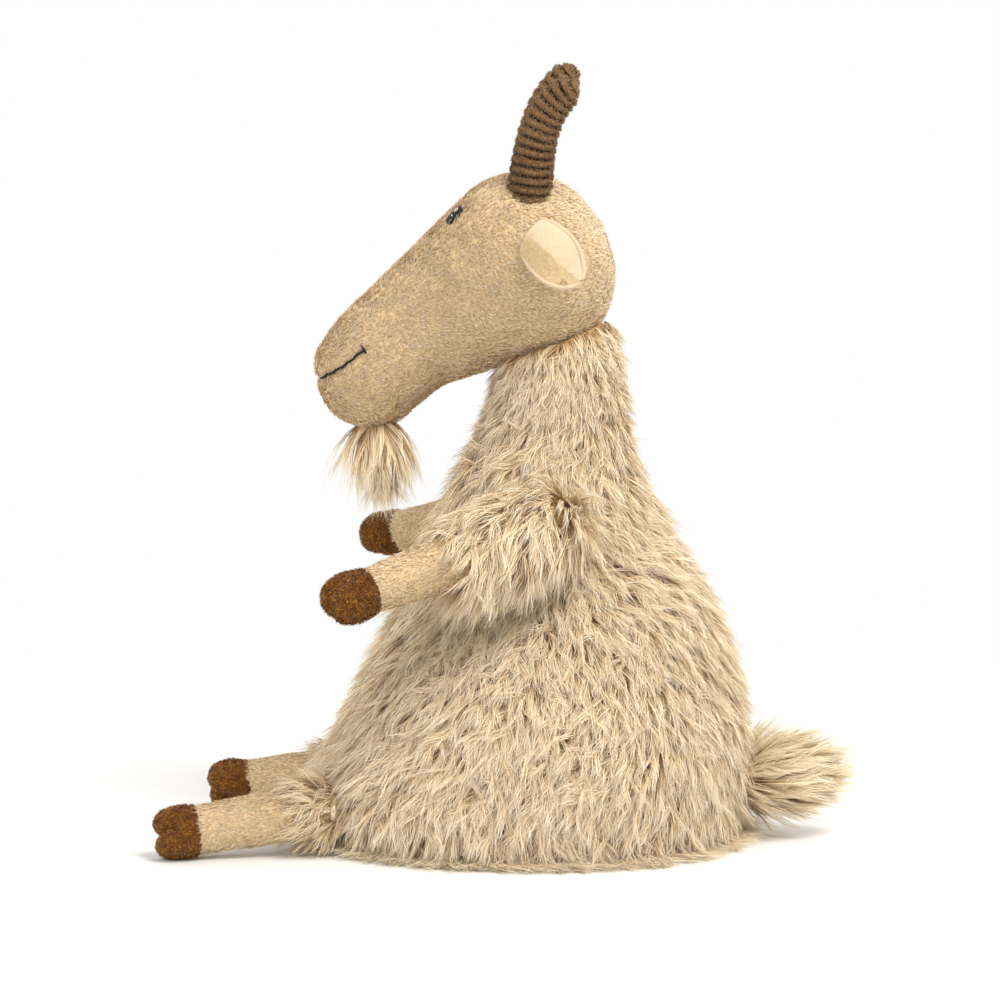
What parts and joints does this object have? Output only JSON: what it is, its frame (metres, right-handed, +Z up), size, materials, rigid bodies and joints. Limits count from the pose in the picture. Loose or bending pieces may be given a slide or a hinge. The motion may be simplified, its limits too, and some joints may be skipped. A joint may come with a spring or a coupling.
{
  "type": "seated plush goat",
  "caption": "Soft toy goat with shaggy fur body, corduroy horns, floppy ears, beard and plush hooves, sitting upright with legs stretched out in front.",
  "frame": {"origin": "middle of the seat, on the surface it sits on", "axes": "+Z up, the goat faces -Y and its left side is +X"},
  "size_m": [0.2025, 0.2692, 0.307],
  "materials": {
    "long_pile_fur": "shaggy long pile",
    "short_pile_plush": "short velvety pile",
    "ear_lining": "smooth velour",
    "corduroy": "ribbed cord",
    "hoof_plush": "short plush",
    "dark_thread": "satin embroidery thread",
    "pale_thread": "satin thread",
    "polyester_fill": "loose fibre",
    "pouch_cloth": "plain woven cloth",
    "plastic_beans": "smooth pellets"
  },
  "bodies": {
    "torso": {"torso_front_panel": "long_pile_fur", "torso_left_panel": "long_pile_fur", "torso_right_panel": "long_pile_fur", "torso_back_left_panel": "long_pile_fur", "torso_back_right_panel": "long_pile_fur", "base_panel": "long_pile_fur", "torso_stuffing": "polyester_fill", "bean_pouch": "pouch_cloth", "bean_fill": "plastic_beans", "closing_stitches": "pale_thread"},
    "head": {"head_left_panel": "short_pile_plush", "head_right_panel": "short_pile_plush", "jaw_gusset": "short_pile_plush", "head_stuffing": "polyester_fill", "horn_left_cover": "corduroy", "horn_left_stuffing": "polyester_fill", "horn_right_cover": "corduroy", "horn_right_stuffing": "polyester_fill", "eye_left": "dark_thread", "eye_right": "dark_thread", "eye_left_glint": "pale_thread", "eye_right_glint": "pale_thread", "mouth_stitching": "dark_thread"},
    "ear_left": {"ear_left_outer": "short_pile_plush", "ear_left_inner": "ear_lining"},
    "ear_right": {"ear_right_outer": "short_pile_plush", "ear_right_inner": "ear_lining"},
    "beard": {"beard": "long_pile_fur"},
    "arm_left": {"arm_left_sleeve": "long_pile_fur", "arm_left_forearm": "short_pile_plush", "arm_left_hoof": "hoof_plush", "arm_left_stuffing": "polyester_fill"},
    "arm_right": {"arm_right_sleeve": "long_pile_fur", "arm_right_forearm": "short_pile_plush", "arm_right_hoof": "hoof_plush", "arm_right_stuffing": "polyester_fill"},
    "leg_left": {"leg_left_cover": "short_pile_plush", "leg_left_hoof": "hoof_plush", "leg_left_stuffing": "polyester_fill"},
    "leg_right": {"leg_right_cover": "short_pile_plush", "leg_right_hoof": "hoof_plush", "leg_right_stuffing": "polyester_fill"},
    "tail": {"tail_fur": "long_pile_fur", "tail_stuffing": "polyester_fill"}
  },
  "joints": [
    {"name": "neck_nod", "type": "hinge", "parent": "torso", "child": "head", "pos_m": [0, 0.003, 0.228], "axis": [1, 0, 0], "range_deg": [-12, 6], "stiffness_Nm_per_rad": 2},
    {"name": "ear_left_flap", "type": "hinge", "parent": "head", "child": "ear_left", "pos_m": [0.0362, 0.007, 0.2405], "axis": [0.2192, -0.5481, -0.8072], "range_deg": [-4, 30], "stiffness_Nm_per_rad": 0.01},
    {"name": "ear_right_flap", "type": "hinge", "parent": "head", "child": "ear_right", "pos_m": [-0.0362, 0.007, 0.2405], "axis": [0.2192, 0.5481, 0.8072], "range_deg": [-4, 30], "stiffness_Nm_per_rad": 0.01},
    {"name": "beard_swing", "type": "hinge", "parent": "head", "child": "beard", "pos_m": [0, -0.06, 0.1635], "axis": [1, 0, 0], "range_deg": [-25, 15], "stiffness_Nm_per_rad": 0.02},
    {"name": "arm_left_swing", "type": "hinge", "parent": "torso", "child": "arm_left", "pos_m": [0.05, 0.014, 0.1285], "axis": [0.8474, 0.531, 0], "range_deg": [-40, 25], "stiffness_Nm_per_rad": 0.3},
    {"name": "arm_right_swing", "type": "hinge", "parent": "torso", "child": "arm_right", "pos_m": [-0.05, 0.014, 0.1285], "axis": [0.892, -0.452, 0], "range_deg": [-40, 25], "stiffness_Nm_per_rad": 0.3},
    {"name": "leg_left_lift", "type": "hinge", "parent": "torso", "child": "leg_left", "pos_m": [0.05, -0.075, 0.0165], "axis": [1, 0, 0], "range_deg": [-40, 0]},
    {"name": "leg_right_lift", "type": "hinge", "parent": "torso", "child": "leg_right", "pos_m": [-0.05, -0.0765, 0.0155], "axis": [1, 0, 0], "range_deg": [-40, 0]},
    {"name": "tail_wag", "type": "hinge", "parent": "torso", "child": "tail", "pos_m": [0, 0.089, 0.023], "axis": [0, 0, 1], "range_deg": [-18, 18], "stiffness_Nm_per_rad": 0.1}
  ]
}
